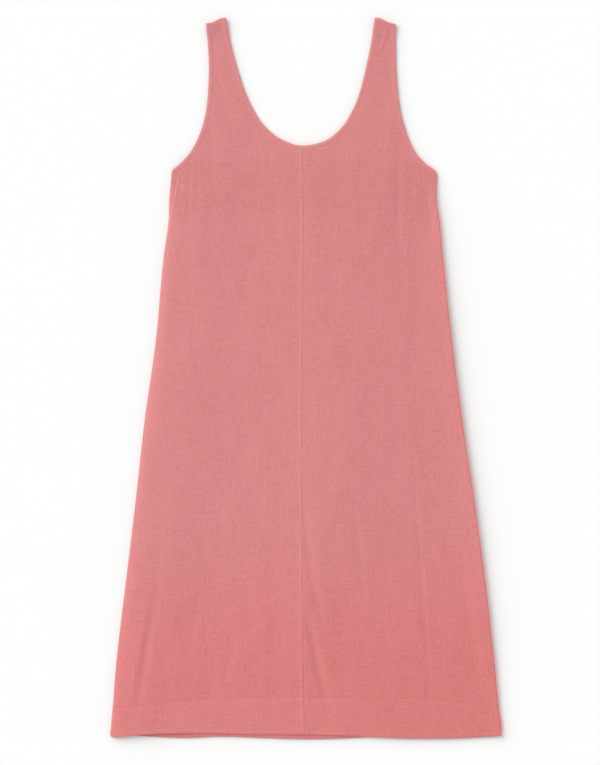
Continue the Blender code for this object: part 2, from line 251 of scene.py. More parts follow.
# The neckline from its lowest point to the shoulders, and the armholes from the underarms up.
NECK = Table(
    "up left right",
    (987.7, -4.7, -4.7),
    (989.5, -19.4, 10.7),
    (994.0, -31.0, 27.2),
    (999.5, -43.1, 38.4),
    (1009.5, -57.3, 51.2),
    (1029.4, -76.0, 68.0),
    (1069.4, -98.1, 86.9),
    (1129.3, -118.0, 102.3),
    (1191, -133.3, 114.6),
)
ARMHOLE = Table(
    "left_up left right_up right",
    (945.7, -223.9, 941.2, 218.4),
    (950, -219.2, 948.5, 212.0),
    (959.5, -207.6, 959.5, 196.6),
    (979.5, -190.7, 979.5, 180.0),
    (1009.5, -176.0, 1009.5, 166.9),
    (1049.4, -165.8, 1049.4, 156.2),
    (1109.3, -161.7, 1109.3, 150.4),
    (1149.3, -162.9, 1149.3, 149.5),
    (1191, -166.8, 1191, 149.0),
)

# The creases and soft ridges of the front, each from its top through a middle to its foot. A
# trough has a negative height.
CREASES = Table(
    "top_x top_up mid_x mid_up foot_x foot_up width height",
    # The long fall beside the centre seam, with its bright bank.
    (-2, 430, 6, 300, 36, 150, 15, -0.60),
    (14, 400, 26, 280, 60, 130, 34, 0.61),
    (2, 222, 16, 135, 44, 40, 15, -1.35),
    (18, 215, 33, 140, 56, 62, 22, 0.83),
    # The crease in the middle of the right half.
    (74, 440, 84, 355, 98, 200, 10, -0.42),
    (84, 440, 95, 350, 112, 190, 22, 0.23),
    (100, 250, 106, 160, 118, 80, 26, 0.20),
    # The fine crease that runs down to the hem.
    (177, 500, 190, 300, 211, -10, 7, -0.49),
    (187, 500, 200, 300, 222, -10, 18, 0.30),
    # The falls of the right hem corner.
    (258, 290, 274, 180, 302, 60, 12, -0.30),
    (240, 150, 266, 105, 298, 58, 12, -0.26),
    (309, 62, 313, 40, 318, 16, 5, -0.32),
    (272, 300, 286, 190, 306, 95, 16, 0.20),
    (222, 330, 238, 220, 262, 100, 30, 0.22),
    # The inner side of the left roll.
    (-240, 400, -244, 300, -250, 190, 20, -0.35),
    (-246, 260, -267, 140, -284, 36, 19, -1.00),
    (-268, 230, -279, 130, -303, 40, 18, 0.39),
    (-175, 260, -183, 205, -194, 140, 14, -0.45),
    (-150, 430, -158, 330, -160, 220, 30, 0.28),
    (-60, 300, -70, 200, -72, 100, 50, 0.39),
    (-120, 180, -128, 120, -131, 74, 16, -0.38),
    # The pull of the left armhole.
    (-161, 1030, -155, 975, -155, 905, 10, -0.30),
    (-176, 985, -180, 930, -178, 860, 8, -0.26),
    (-193, 955, -195, 905, -197, 850, 8, -0.26),
    (-206, 942, -210, 912, -219, 872, 6, -0.36),
    (-212, 938, -216, 910, -222, 884, 4, 0.16),
    (-168, 1005, -170, 945, -170, 870, 11, 0.17),
    (-186, 970, -189, 920, -189, 860, 9, 0.13),
    (-140, 1000, -136, 930, -134, 850, 16, 0.10),
    # The pull of the right armhole, the strongest of the upper part.
    (156, 1015, 153, 920, 158, 780, 12, -0.45),
    (170, 985, 175, 930, 183, 860, 9, -0.25),
    (187, 975, 203, 895, 226, 790, 12, -0.22),
    (136, 1010, 136, 900, 140, 780, 26, 0.35),
    # The straps.
    (-157, 1170, -143, 1095, -127, 1020, 10, -0.31),
    (-149, 1168, -134, 1092, -118, 1024, 13, 0.17),
    (-156, 1135, -152, 1112, -147, 1088, 6, -0.18),
    (139, 1190, 131, 1166, 123, 1140, 6, 0.30),
    (144, 1190, 137, 1165, 128, 1135, 6, -0.31),
    (133, 1190, 125, 1168, 117, 1146, 5, -0.27),
    (118, 1196, 117, 1186, 114, 1172, 5, -0.23),
)

# Broad swells and hollows of the front, each with its reach across and up.
SWELLS = Table(
    "across up reach rise height",
    (56, 440, 78, 260, 3.0),
    (-6, 215, 38, 110, 1.6),
    (115, 930, 42, 110, 1.6),
    (-88, 925, 55, 115, -2.0),
    (-150, 620, 90, 60, 0.5),
    (-100, 150, 90, 70, 0.7),
    (130, 120, 60, 60, 0.6),
)

WALL = 0.8 * MM
LEVEL = 3.2 * MM
HEM_LIFT = 0.4 * MM
HEM_WALL = 1.4 * MM
TURN = 2.5 * MM
SEAM_SHARE = 0.45
SHOULDER_CREST = 4.9 * MM
SHOULDER_SETTLE = 30 * MM
SHOULDER_RISE = 10 * MM
SHOULDER_PEAK = 0.88
SHOULDER_BOW = 1.4
SHOULDER_BLEND = 40 * MM
UNDERARM_FADE = 45 * MM
STRIP_WIDTH = 7.6 * MM
UNDERARM_DROP = 1.35
UNDERARM_TURN = 1.6 * STRIP_WIDTH
LEFT_CREST = 34 * MM
LEFT_FALL = 130 * MM
TUCK = 3.6 * MM
LENGTH = 1.2
SEAM_GAP = 0.12 * MM
MIDDLE_TOP = 940 * MM

# Distances of the fine rows from the hem, of the fine columns inside a side edge, and of those
# beside the centre seam, in millimetres. Even ones follow.
HEM_ROWS = (0, .05, .2, .45, .8, 1.3, 2, 3, 4.2, 6, 8.5, 12, 16, 21, 27, 33, 39, 45, 50, 53, 55,
            56.2, 57, 57.5, 58, 58.5, 59.1, 60, 61.2, 63, 65.5)
SIDE_COLUMNS = (0, .05, .18, .4, .7, 1.1, 1.55, 2, 2.5, 3.1, 3.8)
SEAM_COLUMNS = (0, .3, .6, .9, 1.25, 1.6, 2.1, 2.8, 3.8, 5.2, 7.2)


def ease(share):
    """A smooth step from 0 to 1."""
    share = np.clip(share, 0.0, 1.0)
    return share * share * (3 - 2 * share)


def mix(first, second, share):
    """The value this share of the way from the first to the second."""
    return first + (second - first) * share


def bump(distance, width):
    """A soft hump that is 1 in its middle and 0 half its width away."""
    share = np.clip(np.abs(distance) * 2 / width, 0.0, 1.0)
    return np.cos(share * math.pi / 2) ** 2


class Run:
    """A smooth line in plan through a few points, read by the share of its length."""

    def __init__(self, x, y):
        reach = np.concatenate(([0], np.cumsum(np.hypot(np.diff(x), np.diff(y)))))
        keys = np.linspace(0, reach[-1], 2000)
        self.x = through(reach, x, keys)
        self.y = through(reach, y, keys)
        steps = np.hypot(np.diff(self.x), np.diff(self.y))
        self.reach = np.concatenate(([0], np.cumsum(steps)))
        self.length = self.reach[-1]

    def at(self, share):
        goal = np.asarray(share) * self.length
        return np.interp(goal, self.reach, self.x), np.interp(goal, self.reach, self.y)

    def way(self, share):
        """The line's direction, as a unit vector."""
        step = MM / self.length
        from_x, from_y = self.at(np.clip(share - step, 0, 1))
        to_x, to_y = self.at(np.clip(share + step, 0, 1))
        size = np.hypot(to_x - from_x, to_y - from_y)
        return (to_x - from_x) / size, (to_y - from_y) / size

    def near(self, x, y):
        """How far each point lies from the line."""
        line_x, line_y = self.x[::8], self.y[::8]
        gaps = [np.hypot(x[row, :, None] - line_x, y[row, :, None] - line_y).min(axis=1)
                for row in range(len(x))]
        return np.array(gaps)


class Half:
    """The left (side -1) or right (side 1) half of the dress in plan."""

    def __init__(self, side):
        self.side = side
        self.name = "left" if side < 0 else "right"
        self.arm = Run(ARMHOLE.column(self.name), ARMHOLE.column(self.name + "_up"))
        whole = Run(np.concatenate((NECK.column("left")[:0:-1], NECK.column("right"))),
                    np.concatenate((NECK.column("up")[:0:-1], NECK.column("up"))))
        lowest = np.argmin(np.abs(whole.x - NECK.rows[0, 1]))
        kept = slice(lowest, None, -1) if side < 0 else slice(lowest, None)
        self.neck = Run(whole.x[kept], whole.y[kept])
        self.underarm = ARMHOLE.column(self.name + "_up")[0]

    def arm_ways(self, stations):
        """The ways into the cloth from the armhole, which start straight down the side."""
        way_x, way_y = self.arm.way(stations)
        turned = ease(stations * self.arm.length / UNDERARM_TURN)
        into_y = mix(-UNDERARM_DROP, way_x * self.side, turned)
        return mix(0.0, -way_y * self.side, turned), into_y

    def neck_ways(self, stations):
        """The ways into the cloth from the neckline, straight down at its lowest point."""
        way_x, way_y = self.neck.way(stations)
        turned = ease(stations * self.neck.length / MM)
        return way_y * self.side * turned, mix(-1.0, -way_x * self.side, turned)

    def shoulder_rise(self, stations, x):
        """How far the sloping shoulder line lifts a point of a strap row."""
        arm_x = self.arm.at(stations)[0]
        neck_x = self.neck.at(stations)[0]
        share = (x - arm_x) / (neck_x - arm_x)
        climb = ease(share / SHOULDER_PEAK) ** SHOULDER_BOW
        drop = np.clip(share - SHOULDER_PEAK, 0, 1 - SHOULDER_PEAK) / (1 - SHOULDER_PEAK)
        height = SHOULDER_RISE * climb * np.sqrt(np.clip(1 - drop * drop, 0, 1))
        return height * ease(1 - (1 - stations) * self.arm.length / SHOULDER_BLEND)


def turn_stations(half, even):
    """Even stations up an armhole, then the close ones of the turn over the shoulder."""
    tops = TURN * (1 - np.cos(np.linspace(math.pi / 2, 0, 9))) / half.arm.length
    return np.concatenate((np.linspace(0, 1 - tops[0], even + 1)[:-1], 1 - tops))


def column_shares(width, even):
    """Shares across rows this wide: close at the side edge and at the seam, even between."""
    outer = np.array(SIDE_COLUMNS) * MM / width[:, None]
    inner = 1 - np.array(SEAM_COLUMNS[::-1]) * MM / width[:, None]
    steps = np.linspace(0, 1, even + 2)[1:-1] ** 1.25
    between = mix(outer[:, -1:], inner[:, :1], steps[None, :])
    return np.concatenate((outer, between, inner), axis=1)


class Panel:
    """Half a panel laid out in plan: arrays of places, row by row from hem to shoulder."""

    def __init__(self, half, layer, tuck, gap, row_step, even):
        self.half = half
        side = half.side
        start = half.underarm - UNDERARM_DROP * tuck
        middle = half.neck.y[0] - tuck
        rows = np.concatenate((np.array(HEM_ROWS) * MM,
                               np.arange(69 * MM, MIDDLE_TOP, row_step), [MIDDLE_TOP]))
        outer_up = rows * start / MIDDLE_TOP
        inner_up = rows + (middle - MIDDLE_TOP) * (rows / MIDDLE_TOP) ** 3
        side_x = BODY.at(outer_up, half.name)[:, None]
        seam_x = (BODY.at(inner_up, "seam") + side * gap / 2)[:, None]
        shares = column_shares(np.abs(seam_x - side_x)[:, 0], even)
        x = mix(side_x, seam_x, shares)
        inside = np.abs(x - side_x)
        base = rows[:, None]
        edge = HEM.at(x, layer)
        rounding = HEM_CORNERS[side > 0]
        corner = np.clip(1 - inside / rounding, 0, 1)
        edge = edge + rounding * (1 - np.sqrt(1 - corner * corner))
        line = HEM.at(x, "line") - HEM_LINE
        if layer == "back":
            line = edge
        lift = mix(edge, line, ease(base / HEM_LINE))
        lift = lift * (1 - ease((base - HEM_LINE) / (HEM_FADE - HEM_LINE)))
        up = mix(outer_up[:, None], inner_up[:, None], shares) + lift
        side_x = BODY.at(up[:, :1], half.name)
        x = mix(side_x, seam_x, shares)
        inside = np.abs(x - side_x)
        body = [x, up, np.broadcast_to(base, x.shape), inside, np.full(x.shape, LENGTH)]

        stations = turn_stations(half, 78)[1:]
        arm_x, arm_y = half.arm.at(stations)
        way_x, way_y = half.arm_ways(stations)
        arm_x, arm_y = arm_x + way_x * tuck, arm_y + way_y * tuck
        neck_x, neck_y = half.neck.at(stations)
        way_x, way_y = half.neck_ways(stations)
        neck_x, neck_y = neck_x + way_x * tuck, neck_y + way_y * tuck
        shares = column_shares(np.abs(neck_x - arm_x) + np.abs(neck_y - arm_y), even)
        level = np.linspace(0, 1, shares.shape[1])[None, :]
        shares = mix(shares, level, ease(stations / 0.3)[:, None])
        x = mix(arm_x[:, None], neck_x[:, None], shares)
        up = mix(arm_y[:, None], neck_y[:, None], shares)
        up = up + half.shoulder_rise(stations[:, None], x)
        inside = np.clip(side * (BODY.at(np.minimum(up, half.underarm), half.name) - x), 0, None)
        top = np.broadcast_to(((1 - stations) * half.arm.length)[:, None], x.shape)
        strap = [x, up, np.full(x.shape, MIDDLE_TOP), inside, top]
        whole = [np.concatenate(pair) for pair in zip(body, strap)]
        self.x, self.up, self.base, self.inside, self.top = whole
        self.body_rows = len(rows)
        self.shape = self.x.shape
        self.doubled = 1 - ease((self.base - 50 * MM) / (10 * MM))
        self.doubled = self.doubled * ease(self.inside / (6 * MM))


def turn_rise(distance):
    """The share of a turn's height that is reached this far inside a folded edge."""
    short = np.clip(1 - distance / TURN, 0, 1)
    return np.sqrt(np.clip(1 - short * short, 0, 1))


def side_crest(up, half):
    """The height of the roll inside a side edge, which dies away below the underarm."""
    fade = ease((half.underarm - up) / UNDERARM_FADE)
    level = LEVEL + BODY.at(up, "air")
    return mix(level + 0.2 * MM, BODY.at(up, half.name + "_crest"), fade)


def cockle(x, up):
    """The slight unevenness of cloth that has been washed and pressed, about 0.1 mm high."""
    height = np.zeros_like(x)
    spread = np.random.default_rng(7)
    for _ in range(14):
        wave = spread.uniform(34, 95) * MM
        turn = spread.normal(0, 0.45)
        phase = spread.uniform(0, 2 * math.pi)
        along = x * math.cos(turn) + up * math.sin(turn) * 0.6
        height += np.sin(along * 2 * math.pi / wave + phase + 1.4 * np.sin(up / (60 * MM) + phase))
    return height * 0.045 * MM


def front_form(half, x, up, inside, top, doubled):
    """The height of the front's outer surface without its finest lines."""
    level = LEVEL + BODY.at(up, "air") + HEM_LIFT * doubled
    relief = cockle(x, up)
    for top_x, top_up, mid_x, mid_up, foot_x, foot_up, width, height in CREASES.rows:
        share = np.clip((top_up - up) / (top_up - foot_up), 0, 1)
        middle = (top_up - mid_up) / (top_up - foot_up)
        bend = (mid_x - mix(top_x, foot_x, middle)) / (middle * (1 - middle))
        centre = mix(top_x, foot_x, share) + bend * share * (1 - share)
        lean = math.hypot(foot_x - top_x, foot_up - top_up) / (top_up - foot_up)
        ends = np.sin(math.pi * share) ** 0.8
        relief += height * ends * bump((x - centre) / lean, width * 1.25)
    for across, middle, reach, rise, height in SWELLS.rows:
        relief += height * np.exp(-((x - across) / reach) ** 2 - ((up - middle) / rise) ** 2)
    seam = x - BODY.at(up, "seam")
    relief += 0.35 * MM * np.exp(-(seam / (5 * MM)) ** 2) * ease((985 * MM - up) / (12 * MM))
    relief = relief * ease(inside / (16 * MM)) * ease((top - TURN) / (14 * MM))
    crest = side_crest(up, half)
    roll = BODY.at(up, half.name + "_roll")
    fade = ease((half.underarm - up) / UNDERARM_FADE)
    if half.side < 0:
        low = crest * SEAM_SHARE + 0.3 * MM
        fallen = ease((inside - LEFT_CREST) / LEFT_FALL)
        crown = level + np.clip(crest - level, 0, None) * (1 - fallen)
        over = mix(level, crown - (crown - low) * np.exp(-inside / roll), fade)
    else:
        swell = np.clip(1 - inside / roll, 0, 1) ** 2
        over = level + np.clip(crest - level, 0, None) * swell * fade
    side = mix(crest * SEAM_SHARE, over + relief, turn_rise(inside))
    settled = ease((top - TURN) / (SHOULDER_SETTLE - TURN))
    shoulder = mix(SHOULDER_CREST, level, settled)
    shoulder = mix(SHOULDER_CREST * SEAM_SHARE, shoulder, turn_rise(top))
    return side + shoulder - level


def normals_of(points):
    """Unit normals of a grid of points, upwards where its columns run along +X."""
    across = np.gradient(points, axis=1)
    along = np.gradient(points, axis=0)
    normal = np.cross(across, along)
    return normal / np.linalg.norm(normal, axis=2, keepdims=True)


def set_down(x, up, height):
    """Points of the model, measured from the middle of the dress."""
    return np.stack((x, up - LENGTH / 2, height), axis=-1)


def hem_roll(panel):
    """How far the hem's folded edge has rounded off, from 0 on the cloth to 1 at the edge."""
    short = np.clip(1 - panel.base / (0.8 * MM), 0, 1)
    return 1 - np.sqrt(1 - short * short)


def seam_tuck(half, panel, height):
    """How far the side seam draws the folded edge in, at the seam's own height."""
    offset = height - side_crest(panel.up, half) * SEAM_SHARE
    near = (panel.inside < 1.2 * MM) * (panel.base > 4 * MM)
    return 0.35 * MM * np.exp(-(offset / (0.5 * MM)) ** 2) * near


def shell_faces(faces, count):
    """The faces of a closed shell: outer faces, inner ones, and a rim round each open edge."""
    edges = np.concatenate([faces[:, [i, (i + 1) % 4]] for i in range(4)])
    forward = edges[:, 0] * count + edges[:, 1]
    backward = edges[:, 1] * count + edges[:, 0]
    loose = edges[~np.isin(forward, backward)]
    rim = np.column_stack((loose[:, 1], loose[:, 0], loose[:, 0] + count, loose[:, 1] + count))
    return np.concatenate((faces, faces[:, ::-1] + count, rim))


def make_shell(name, grids, material):
    """A closed shell through grids of outer points, inner points, weave places, and wear with
    painted highlight.

    Each grid's columns run so that its outer faces look outwards. Shared outer points of two
    grids are joined.
    """
    outer, inner, weave, wear_and_highlight, faces = [], [], [], [], []
    start = 0
    for grid in grids:
        rows, columns = grid[0].shape[:2]
        index = np.arange(rows * columns).reshape(rows, columns) + start
        faces.append(np.column_stack((index[:-1, :-1].ravel(), index[:-1, 1:].ravel(),
                                      index[1:, 1:].ravel(), index[1:, :-1].ravel())))
        start += rows * columns
        for kept, part in zip((outer, inner, weave, wear_and_highlight), grid):
            kept.append(part.reshape(rows * columns, -1))
    outer, inner, weave, wear_and_highlight = (np.concatenate(p) for p in (outer, inner, weave, wear_and_highlight))
    keys = np.round(outer / (0.001 * MM)).astype(np.int64)
    _, first, joined = np.unique(keys, axis=0, return_index=True, return_inverse=True)
    faces = shell_faces(joined.reshape(-1)[np.concatenate(faces)], len(first))
    points = np.concatenate((outer[first], inner[first]))
    mesh = bpy.data.meshes.new(name)
    mesh.from_pydata(points.tolist(), [], faces.tolist())
    corners = np.empty(len(mesh.loops), int)
    mesh.loops.foreach_get("vertex_index", corners)
    places = np.tile(weave[first], (2, 1))[corners]
    mesh.uv_layers.new(name="weave").uv.foreach_set("vector", places.ravel())
    # Per point: wear together with painted highlight, which lightens the cloth's colour.
    worn_and_highlit = mesh.attributes.new("wear_and_highlight", "FLOAT", "POINT")
    worn_and_highlit.data.foreach_set("value", np.tile(wear_and_highlight[first, 0], 2))
    mesh.materials.append(material)
    mesh.shade_smooth()
    mesh.validate()
    piece = bpy.data.objects.new(name, mesh)
    bpy.context.scene.collection.objects.link(piece)
    return piece


def woven_places(points, side):
    """Where each point lies on the cloth before it turns round an edge: across and along."""
    step = np.diff(points, axis=1)
    longer = np.linalg.norm(step, axis=2) - np.linalg.norm(step[..., :2], axis=2)
    excess = np.zeros(points.shape[:2])
    excess[:, :-1] = np.cumsum(longer[:, ::-1], axis=1)[:, ::-1]
    step = np.diff(points, axis=0)
    longer = np.linalg.norm(step, axis=2) - np.linalg.norm(step[..., :2], axis=2)
    further = np.zeros(points.shape[:2])
    further[1:] = np.cumsum(longer, axis=0)
    return np.stack((points[..., 0] + side * excess, points[..., 1] + further), axis=-1)


def left_to_right(half, *grids):
    """Grids whose columns run along +X, so that their faces look up."""
    return [grid if half.side < 0 else grid[:, ::-1] for grid in grids]


def rolled_seam(half, x, up):
    """How near each point lies to the side seam where it rolls round on to the front."""
    if half.side < 0:
        line = through(np.array([870, 898, 936]) * MM, np.array([-227, -220.4, -213.5]) * MM, up)
        shown = ease((up - 868 * MM) / (12 * MM)) * ease((944 * MM - up) / (16 * MM))
    else:
        line = through(np.array([26, 60, 100]) * MM, np.array([318, 307, 293]) * MM, up)
        shown = ease((up - 30 * MM) / (14 * MM)) * ease((104 * MM - up) / (16 * MM))
    return x - line, shown


def make_front(half, material):
    """A front panel. Its hem line and its surface come back too, for the stitches."""
    panel = Panel(half, "front", TUCK, SEAM_GAP, 4.6 * MM, 92)
    x, up = panel.x, panel.up
    form = front_form(half, x, up, panel.inside, panel.top, panel.doubled)
    seam = half.side * (x - BODY.at(up, "seam"))
    body = panel.base < MIDDLE_TOP
    groove = 0.33 * MM * np.exp(-(seam / (0.75 * MM)) ** 2) * body
    pucker = 0.10 * MM * np.sin(up / (2.1 * MM) + 2 * np.sin(up / (17 * MM)))
    pucker = pucker * np.exp(-((seam - 2.6 * MM) / (2.2 * MM)) ** 2) * body
    stitched = panel.base - HEM_LINE
    groove = groove + 0.22 * MM * np.exp(-(stitched / MM) ** 2) * ease(panel.inside / (8 * MM))
    pucker = pucker + (0.12 * MM * np.sin(x / (2.4 * MM) + 3 * np.sin(x / (23 * MM)))
                       * np.exp(-((stitched + 2.5 * MM) / (3.5 * MM)) ** 2))
    edge_roll = 0.35 * MM * bump(panel.base - 3.4 * MM, 5.5 * MM)
    offset, shown = rolled_seam(half, x, up)
    groove = groove + 0.35 * MM * shown * np.exp(-(offset / (1.3 * MM)) ** 2)
    beside = offset + half.side * 3.2 * MM
    pucker = pucker + 0.2 * MM * shown * np.exp(-(beside / (2.4 * MM)) ** 2)
    near_bind = np.minimum(half.arm.near(x, up), half.neck.near(x, up)) - TUCK
    ripple = np.sin(up / (2.6 * MM) + 2.5 * np.sin(x / (13 * MM)) + 2 * np.sin(up / (31 * MM)))
    pucker = pucker + 0.09 * MM * ripple * np.exp(-(near_bind / (7 * MM)) ** 2)
    dip = 0.055 * MM * np.exp(-((near_bind - 4.6 * MM) / (1.4 * MM)) ** 2)
    rolled = hem_roll(panel)
    wall = mix(WALL, HEM_WALL, panel.doubled)
    quiet = ease(panel.inside / TURN)
    height = form + (pucker - groove + edge_roll - dip) * quiet - rolled * wall / 2
    points = set_down(x, up, height)
    points[..., 0] -= half.side * seam_tuck(half, panel, height)
    smooth = set_down(x, up, form - rolled * wall / 2)
    places = woven_places(points, half.side)
    # Lighter beside the pressed centre seam: pressing wear and painted sheen.
    seam_wear_and_sheen = 0.5 * np.exp(-((seam - 4 * MM) / (4 * MM)) ** 2)
    seam_wear_and_sheen = seam_wear_and_sheen * (1 - np.exp(-(seam / (1.3 * MM)) ** 2))
    # The doubled hem band painted lighter, more so towards the left: painted light from the window
    # on the left.
    painted_hem_light = panel.doubled * np.clip(0.5 - x / 0.5, 0, 1) * ease(panel.inside / (120 * MM))
    # Also a painted highlight along the hem's folded edge, a band lighter from wear and painted
    # highlight inside the bindings, and a painted highlight beside the rolled side seam.
    wear_and_highlight = (seam_wear_and_sheen * body
              + 0.5 * painted_hem_light
              + 0.4 * np.exp(-((panel.base - 2.4 * MM) / (1.6 * MM)) ** 2)
              + 0.35 * np.exp(-(near_bind - 4 * MM) ** 2 / (3 * MM) ** 2)
              + 0.2 * shown * np.exp(-((offset + half.side * 2.4 * MM) / (1.5 * MM)) ** 2))
    outer, smooth, wall, rolled, places, wear_and_highlight = left_to_right(
        half, points, smooth, wall, rolled, places, wear_and_highlight)
    normal = normals_of(smooth)
    thickness = (wall * (1 - 0.96 * rolled))[..., None]
    inner = smooth - normal * thickness
    piece = make_shell("front_" + half.name + "_cloth",
                       [(outer, inner, places, wear_and_highlight)], material)
    line = int(np.argmin(np.abs(panel.base[:, 0] - HEM_LINE)))
    return piece, outer[line], normal[line]


# The cloth: a slubby plain weave in a dusty salmon, a little deeper towards the hem, the upper
# part's paler tone being painted sheen, with painted shade over the chest and a painted shade that
# deepens it towards the right, away from the window. Thick and thin yarns show as short upright
# and level streaks, and pressed edges are lighter from wear and from painted highlights.
# The upper colour is paler from painted sheen; the lower one, towards the hem, has less of it.
SALMON_HIGH = (0.629, 0.2155, 0.2125, 1)
SALMON_LOW = (0.639, 0.1845, 0.1835, 1)
STREAK_AND_PAINTED_LIGHT_STEP = (0.058, 0.052, 0.049, 1)
YARN = 0.95 * MM


def cloth(name, bias=False, lighter=0.0):
    """The salmon cloth, on its own weave places; a bias strip has its yarns at 45 degrees."""
    finish = Finish(name)
    place = finish.add("ShaderNodeUVMap", {"uv_map": "weave"}, {})
    if bias:
        place = finish.add("ShaderNodeVectorRotate", {"rotation_type": "Z_AXIS"},
                           {"Vector": place, "Angle": math.pi / 4})
    patch = finish.ramp(finish.noise(place, (46, 46, 0), detail=1), 0.35, 0.65)
    upright = finish.noise(place, (340, 26, 0), detail=1)
    level = finish.noise(place, (26, 340, 0), detail=1)
    short_upright = finish.noise(place, (460, 120, 0), detail=1)
    short_level = finish.noise(place, (120, 460, 0), detail=1)
    streak = (upright - 0.5) * (0.3 + patch) + (level - 0.5) * (1.3 - patch)
    streak = streak * 1.05 + (short_upright + short_level - 1.0) * 1.3
    mottle = finish.noise(place, (9, 7, 0), detail=2)
    on_dress = finish.add("ShaderNodeTexCoord", {}, {}, output=3)
    across = finish.add("ShaderNodeSeparateXYZ", {}, {"Vector": on_dress}, output=0)
    towards_shoulder = finish.add("ShaderNodeSeparateXYZ", {}, {"Vector": on_dress}, output=1)
    # Deeper towards the hem: the upper part's paler colour is painted sheen.
    hem_share = 1 - finish.ramp(towards_shoulder, -0.50, -0.20)
    base = finish.blend(hem_share, SALMON_HIGH, SALMON_LOW)
    # A band of painted shade over the upper chest, under the neckline.
    painted_chest_shade = finish.ramp(towards_shoulder, 0.25, 0.30)
    painted_chest_shade = painted_chest_shade * (1 - finish.ramp(towards_shoulder, 0.335, 0.385))
    # Real wear of pressed edges together with painted highlights on seams, folds and the hem band,
    # lightening the colour.
    wear_and_highlight = finish.add("ShaderNodeAttribute", {"attribute_name": "wear_and_highlight"}, {}, output=2)
    amount = streak * 0.9 + (mottle - 0.5) * 0.35 + wear_and_highlight * 0.45 + lighter
    # Painted shade: darker towards the right, away from the window on the left, and over the chest
    # band.
    amount = amount - across * 0.55 - painted_chest_shade * 0.19
    tone = finish.add("ShaderNodeVectorMath", {"operation": "SCALE"},
                      {0: STREAK_AND_PAINTED_LIGHT_STEP[:3], "Scale": amount})
    colour = finish.add("ShaderNodeVectorMath", {"operation": "ADD"}, {0: base, 1: tone})
    yarn_across = finish.add("ShaderNodeSeparateXYZ", {}, {"Vector": place}, output=0)
    yarn_along = finish.add("ShaderNodeSeparateXYZ", {}, {"Vector": place}, output=1)
    turn = 2 * math.pi / YARN
    warp = finish.add("ShaderNodeMath", {"operation": "SINE"},
                      {0: yarn_across * turn + (upright - 0.5) * 6.0})
    weft = finish.add("ShaderNodeMath", {"operation": "SINE"},
                      {0: yarn_along * turn + (level - 0.5) * 6.0})
    weave = warp * weft * 0.5 + streak * 0.9
    relief = finish.add("ShaderNodeBump", {}, {
        "Strength": 0.6, "Distance": 0.12 * MM, "Height": weave})
    finish.feed(finish.shader, {
        "Base Color": colour, "Roughness": 0.9, "Normal": relief, "Specular IOR Level": 0.25,
        "Sheen Weight": 0.18, "Sheen Roughness": 0.55, "Sheen Tint": (1.0, 0.86, 0.84, 1)})
    return finish.material


salmon = cloth("salmon_cloth")
halves = (Half(-1), Half(1))
fronts = [make_front(half, salmon) for half in halves]
for half, (piece, _, _) in zip(halves, fronts):
    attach(piece, "root")
    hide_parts("front_" + half.name)


# The back: one panel with both back straps, cut from the same cloth. It lies flat on the table,
# turns up into the side and shoulder seams, and its hem shows below the front's.
BACK_INSET = 1 * MM
HEM_CURL = 1.2 * MM
STRIP_CROWN = 0.17 * MM


def back_form(half, x, up, inside, top, near_bind):
    """The height of the back's outer surface, which lies on the table inside its edges."""
    rim = side_crest(up, half) * SEAM_SHARE * (1 - turn_rise(inside))
    shoulder = SHOULDER_CREST * SEAM_SHARE * (1 - turn_rise(top))
    bound = STRIP_CROWN * (1 - ease((near_bind - 4 * MM) / (9 * MM)))
    curl = HEM_CURL * (1 - ease(up / (36 * MM))) * ease(inside / (16 * MM))
    lifted = 0.22 * MM * bump(x + 60 * MM + 0.2 * (up - 0.4), 0.17)
    lifted = lifted + 0.18 * MM * bump(x - 110 * MM + 0.12 * (up - 0.5), 0.13)
    lifted = lifted + 0.2 * MM * bump(x - 200 * MM - 0.3 * (up - 0.2), 0.07)
    return rim + shoulder + bound + curl + lifted * ease((inside - TURN) / (20 * MM))


def make_back(material):
    """The back, in one piece. Its hem lines and their normals come back too."""
    grids, lines = [], []
    for half in halves:
        panel = Panel(half, "back", TUCK + BACK_INSET, 0.0, 9.2 * MM, 40)
        x, up = panel.x, panel.up
        near_bind = np.minimum(half.arm.near(x, up), half.neck.near(x, up)) - TUCK - BACK_INSET
        form = back_form(half, x, up, panel.inside, panel.top, near_bind)
        rolled = hem_roll(panel)
        wall = mix(WALL, HEM_WALL, panel.doubled)
        stitched = 0.25 * MM * np.exp(-((panel.base - HEM_LINE) / (1.0 * MM)) ** 2)
        height = form + stitched + rolled * wall / 2
        points = set_down(x, up, height)
        points[..., 0] -= half.side * seam_tuck(half, panel, height)
        smooth = set_down(x, up, form + rolled * wall / 2)
        places = woven_places(points, half.side)
        # The back's folded hem edge is lighter from wear and from a painted highlight.
        wear_and_highlight = 0.6 * np.exp(-((panel.base - 1.5 * MM) / (2 * MM)) ** 2)
        outer, smooth, wall, rolled, places, wear_and_highlight = left_to_right(
            half, points, smooth, wall, rolled, places, wear_and_highlight)
        normal = -normals_of(smooth)
        inner = smooth - normal * (wall * (1 - 0.96 * rolled))[..., None]
        line = int(np.argmin(np.abs(panel.base[:, 0] - HEM_LINE)))
        lines.append((outer[line], normal[line]))
        grids.append([part[:, ::-1] for part in (outer, inner, places, wear_and_highlight)])
    return make_shell("back_cloth", grids, material), lines


back, back_lines = make_back(salmon)
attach(back, "root")
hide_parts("back")


